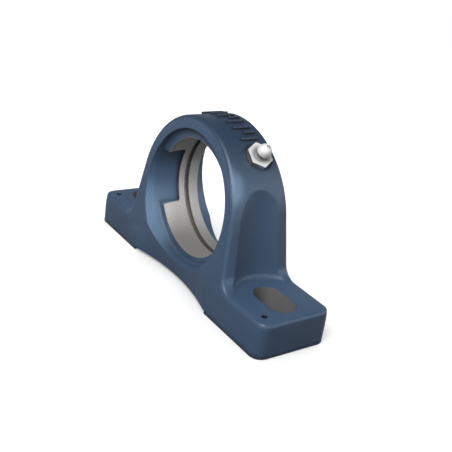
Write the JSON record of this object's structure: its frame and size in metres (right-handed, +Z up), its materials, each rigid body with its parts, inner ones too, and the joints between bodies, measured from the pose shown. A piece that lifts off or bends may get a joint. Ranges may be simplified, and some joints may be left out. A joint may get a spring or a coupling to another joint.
{
  "type": "pillow block housing",
  "caption": "Foot-mounted cast iron housing with a spherical seat for an insert bearing, loading slots, slotted bolt holes and a grease nipple.",
  "frame": {"origin": "middle of the base face, under the middle of the bore", "axes": "+X along the length of the base, +Y along the shaft away from the loading slots, +Z up from the base to the bore"},
  "size_m": [0.152, 0.04, 0.0827],
  "materials": {
    "housing": "satin blue-grey enamel over fine cast texture, machined bare in the seat",
    "nipple": "bright zinc plate",
    "ball": "polished hard steel",
    "spring": "drawn spring wire"
  },
  "bodies": {
    "housing": {"housing": "housing", "grease_nipple": "nipple", "check_spring": "spring"},
    "check_ball": {"check_ball": "ball"}
  },
  "joints": [
    {"name": "check_ball_slide", "type": "slide", "parent": "housing", "child": "check_ball", "axis": [-0.6691, 0, -0.7431], "range_m": [0, 0.0008], "stiffness_N_per_m": 800, "deforming": ["check_spring"]}
  ]
}
